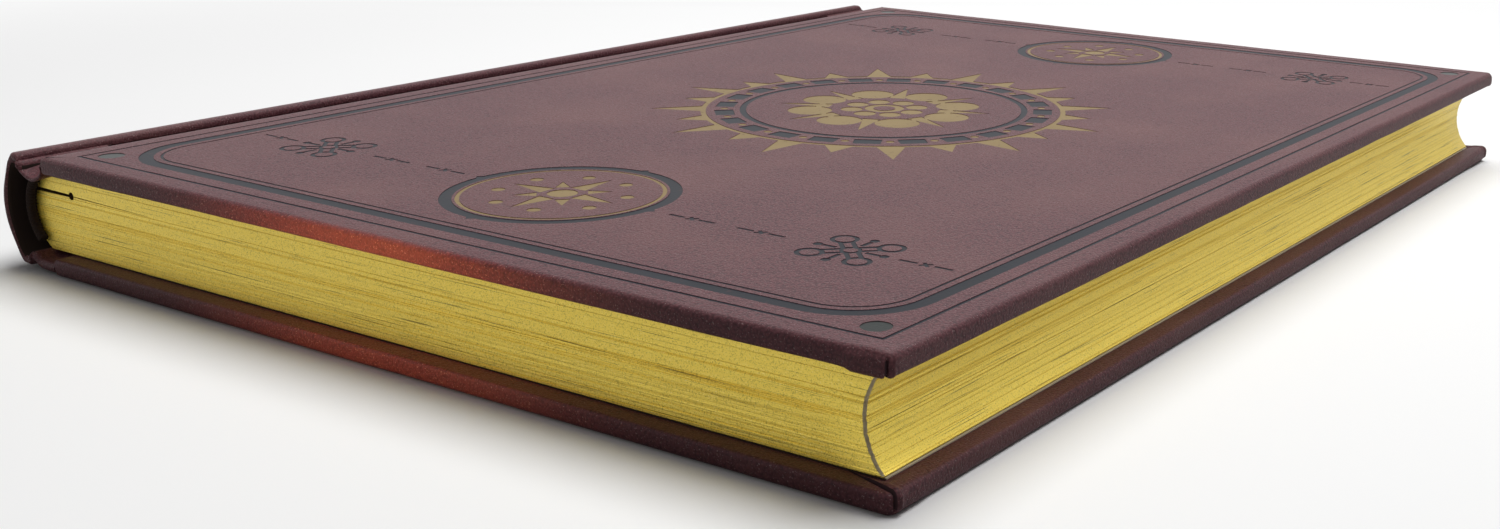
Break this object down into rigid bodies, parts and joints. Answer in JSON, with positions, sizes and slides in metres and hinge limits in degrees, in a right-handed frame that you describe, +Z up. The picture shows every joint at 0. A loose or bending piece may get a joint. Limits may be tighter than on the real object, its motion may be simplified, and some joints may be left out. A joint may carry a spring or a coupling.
{
  "type": "hardcover journal",
  "caption": "Closed hardcover journal with a rounded spine, grooved joints, gilt page edges and a stamped front cover; both covers open on hinges at the grooves.",
  "frame": {"origin": "middle of the underside, on the surface the journal rests on", "axes": "+X from the spine to the fore-edge, +Y from tail to head, +Z up through the front cover"},
  "size_m": [0.1644, 0.209, 0.018],
  "materials": {
    "gilt_pages": "gilt leaf edges, burnished, with the lines of the leaves showing",
    "endpaper": "plain cream endpaper",
    "greyboard": "plain grey board",
    "leatherette": "fine pebble grain, satin, reddish brown",
    "lining_cloth": "open cotton weave",
    "band_cotton": "dark brown woven cotton",
    "dark_foil": "stamped blue-grey pigment foil, satin",
    "gold_foil": "stamped gold foil, dull and slightly worn"
  },
  "bodies": {
    "block": {"page_block": "gilt_pages", "front_flyleaf": "endpaper", "back_flyleaf": "endpaper", "spine_inlay": "greyboard", "spine_covering": "leatherette", "spine_lining": "lining_cloth", "head_band": "band_cotton", "tail_band": "band_cotton"},
    "front_cover": {"front_pastedown": "endpaper", "front_board": "greyboard", "front_covering": "leatherette", "border_foil": "dark_foil", "corner_dot_foil": "dark_foil", "knot_foil": "dark_foil", "medallion_ring_foil": "dark_foil", "tail_medallion_foil": "gold_foil", "head_medallion_foil": "gold_foil", "emblem_ring_foil": "dark_foil", "emblem_gold_foil": "gold_foil"},
    "back_cover": {"back_pastedown": "endpaper", "back_board": "greyboard", "back_covering": "leatherette"}
  },
  "joints": [
    {"name": "front_cover_hinge", "type": "hinge", "parent": "block", "child": "front_cover", "pos_m": [-0.07535, 0, 0.0165], "axis": [0, -1, 0], "range_deg": [0, 180]},
    {"name": "back_cover_hinge", "type": "hinge", "parent": "block", "child": "back_cover", "pos_m": [-0.07535, 0, 0.0015], "axis": [0, 1, 0], "range_deg": [0, 180]}
  ]
}
